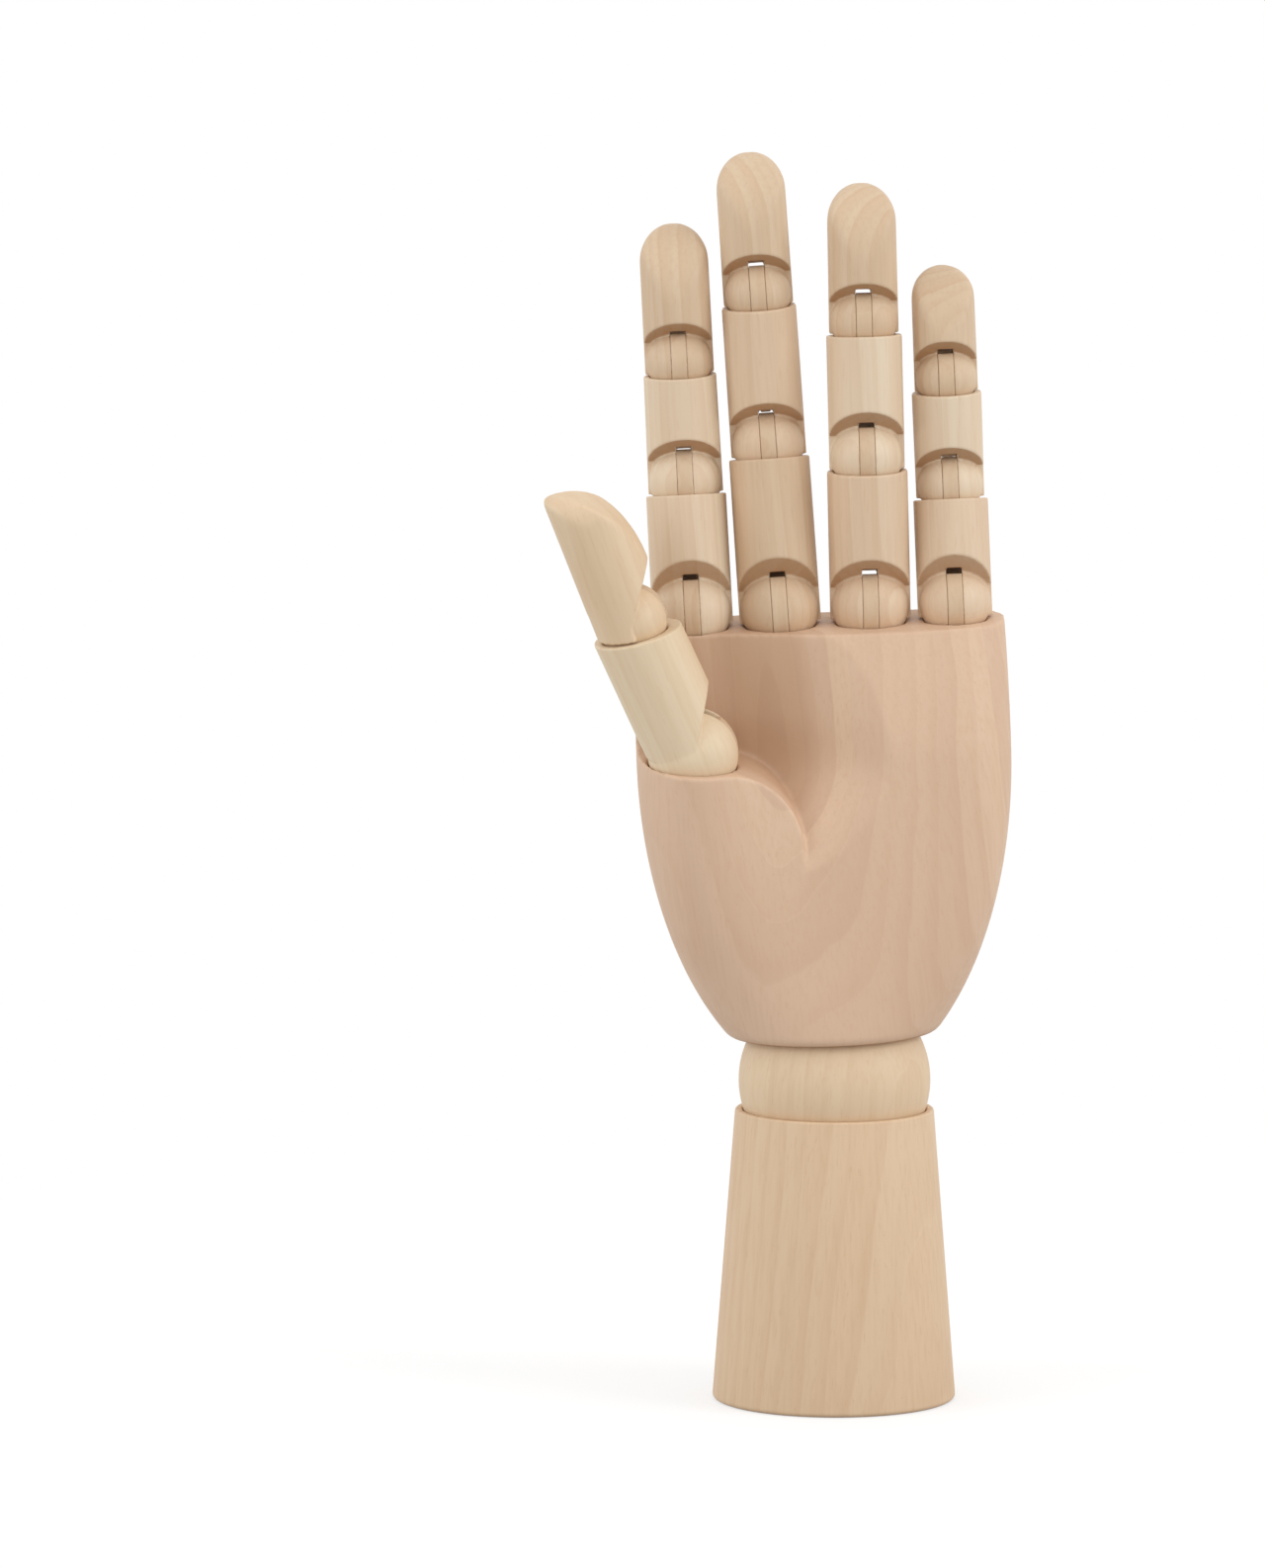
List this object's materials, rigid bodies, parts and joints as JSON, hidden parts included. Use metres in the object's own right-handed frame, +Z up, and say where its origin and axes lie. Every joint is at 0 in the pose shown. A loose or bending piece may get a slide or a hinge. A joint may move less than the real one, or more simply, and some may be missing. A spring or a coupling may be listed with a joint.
{
  "type": "wooden hand mannequin",
  "caption": "Jointed wooden artist's hand on a tapered round forearm. Its fingers and thumb bend at pinned knuckles, its wrist turns and tilts on a sprung ball, and it holds a pose.",
  "frame": {"origin": "middle of the forearm's flat base, on the surface that it stands on", "axes": "+Z up along the forearm's axis, -Y the palm's side, +X the little finger's side"},
  "size_m": [0.1134, 0.0641, 0.3031],
  "materials": {
    "palm_wood": "matte",
    "forearm_wood": "matte",
    "thumb_wood": "matte",
    "finger_wood": "matte",
    "spring_steel": "satin",
    "plated_steel": "satin",
    "pin_steel": "satin"
  },
  "bodies": {
    "forearm": {"forearm": "forearm_wood", "spring_anchor_pin": "plated_steel"},
    "wrist_turn": {"wrist_spring": "spring_steel"},
    "wrist_ball": {"wrist_ball": "finger_wood"},
    "palm": {"palm": "palm_wood", "spring_eye": "plated_steel", "index_proximal_tongue": "finger_wood", "middle_proximal_tongue": "finger_wood", "ring_proximal_tongue": "finger_wood", "little_proximal_tongue": "finger_wood", "thumb_proximal_tongue": "finger_wood"},
    "index_proximal": {"index_proximal": "finger_wood", "index_proximal_pin": "pin_steel", "index_middle_tongue": "finger_wood"},
    "index_middle": {"index_middle": "finger_wood", "index_middle_pin": "pin_steel", "index_distal_tongue": "finger_wood"},
    "index_distal": {"index_distal": "finger_wood", "index_distal_pin": "pin_steel"},
    "middle_proximal": {"middle_proximal": "finger_wood", "middle_proximal_pin": "pin_steel", "middle_middle_tongue": "finger_wood"},
    "middle_middle": {"middle_middle": "finger_wood", "middle_middle_pin": "pin_steel", "middle_distal_tongue": "finger_wood"},
    "middle_distal": {"middle_distal": "finger_wood", "middle_distal_pin": "pin_steel"},
    "ring_proximal": {"ring_proximal": "finger_wood", "ring_proximal_pin": "pin_steel", "ring_middle_tongue": "finger_wood"},
    "ring_middle": {"ring_middle": "finger_wood", "ring_middle_pin": "pin_steel", "ring_distal_tongue": "finger_wood"},
    "ring_distal": {"ring_distal": "finger_wood", "ring_distal_pin": "pin_steel"},
    "little_proximal": {"little_proximal": "finger_wood", "little_proximal_pin": "pin_steel", "little_middle_tongue": "finger_wood"},
    "little_middle": {"little_middle": "finger_wood", "little_middle_pin": "pin_steel", "little_distal_tongue": "finger_wood"},
    "little_distal": {"little_distal": "finger_wood", "little_distal_pin": "pin_steel"},
    "thumb_proximal": {"thumb_proximal": "thumb_wood", "thumb_proximal_pin": "pin_steel", "thumb_distal_tongue": "finger_wood"},
    "thumb_distal": {"thumb_distal": "thumb_wood", "thumb_distal_pin": "pin_steel"}
  },
  "joints": [
    {"name": "wrist_turn", "type": "hinge", "parent": "forearm", "child": "wrist_turn", "pos_m": [0, 0, 0.0781], "axis": [0, 0, 1], "range_deg": [-90, 90], "deforming": ["wrist_spring"]},
    {"name": "wrist_tilt", "type": "hinge", "parent": "wrist_turn", "child": "wrist_ball", "pos_m": [0, 0, 0.0781], "axis": [0, 1, 0], "range_deg": [-20, 20], "deforming": ["wrist_spring"]},
    {"name": "wrist_nod", "type": "hinge", "parent": "wrist_ball", "child": "palm", "pos_m": [0, 0, 0.0781], "axis": [1, 0, 0], "range_deg": [-20, 20], "deforming": ["wrist_spring"]},
    {"name": "index_proximal_bend", "type": "hinge", "parent": "palm", "child": "index_proximal", "pos_m": [-0.0346, 0, 0.19196], "axis": [0.9986, 0, 0.0523], "range_deg": [-5, 45]},
    {"name": "index_middle_bend", "type": "hinge", "parent": "index_proximal", "child": "index_middle", "pos_m": [-0.03625, 0.00276, 0.2235], "axis": [0.9986, 0, 0.0523], "range_deg": [-16, 60]},
    {"name": "index_distal_bend", "type": "hinge", "parent": "index_middle", "child": "index_distal", "pos_m": [-0.03777, 0.00124, 0.25252], "axis": [0.9986, 0, 0.0523], "range_deg": [-9, 67]},
    {"name": "middle_proximal_bend", "type": "hinge", "parent": "palm", "child": "middle_proximal", "pos_m": [-0.01351, 0, 0.1927], "axis": [0.9976, 0, 0.0698], "range_deg": [-6, 72]},
    {"name": "middle_middle_bend", "type": "hinge", "parent": "middle_proximal", "child": "middle_middle", "pos_m": [-0.01628, 0.00278, 0.2324], "axis": [0.9976, 0, 0.0698], "range_deg": [-16, 60]},
    {"name": "middle_distal_bend", "type": "hinge", "parent": "middle_middle", "child": "middle_distal", "pos_m": [-0.01885, 0.00021, 0.26913], "axis": [0.9976, 0, 0.0698], "range_deg": [-8, 68]},
    {"name": "ring_proximal_bend", "type": "hinge", "parent": "palm", "child": "ring_proximal", "pos_m": [0.00838, 0, 0.19346], "axis": [0.9997, 0, 0.0262], "range_deg": [-13, 65]},
    {"name": "ring_middle_bend", "type": "hinge", "parent": "ring_proximal", "child": "ring_middle", "pos_m": [0.00743, -0.0019, 0.2297], "axis": [0.9997, 0, 0.0262], "range_deg": [-4, 72]},
    {"name": "ring_distal_bend", "type": "hinge", "parent": "ring_middle", "child": "ring_distal", "pos_m": [0.00657, -0.00133, 0.26238], "axis": [0.9997, 0, 0.0262], "range_deg": [-14, 62]},
    {"name": "little_proximal_bend", "type": "hinge", "parent": "palm", "child": "little_proximal", "pos_m": [0.02877, 0, 0.19417], "axis": [0.9991, 0, 0.0419], "range_deg": [-4, 74]},
    {"name": "little_middle_bend", "type": "hinge", "parent": "little_proximal", "child": "little_middle", "pos_m": [0.02758, 0.00297, 0.22239], "axis": [0.9991, 0, 0.0419], "range_deg": [-17, 59]},
    {"name": "little_distal_bend", "type": "hinge", "parent": "little_middle", "child": "little_distal", "pos_m": [0.0265, 0.00161, 0.24834], "axis": [0.9991, 0, 0.0419], "range_deg": [-5, 71]},
    {"name": "thumb_proximal_open", "type": "hinge", "parent": "palm", "child": "thumb_proximal", "pos_m": [-0.03447, -0.016, 0.15965], "axis": [0.0055, -0.9877, -0.1563], "range_deg": [-41.2, 1.8]},
    {"name": "thumb_distal_open", "type": "hinge", "parent": "thumb_proximal", "child": "thumb_distal", "pos_m": [-0.04942, -0.02129, 0.19252], "axis": [0.0055, -0.9877, -0.1563], "range_deg": [-64.3, 4.7]}
  ]
}
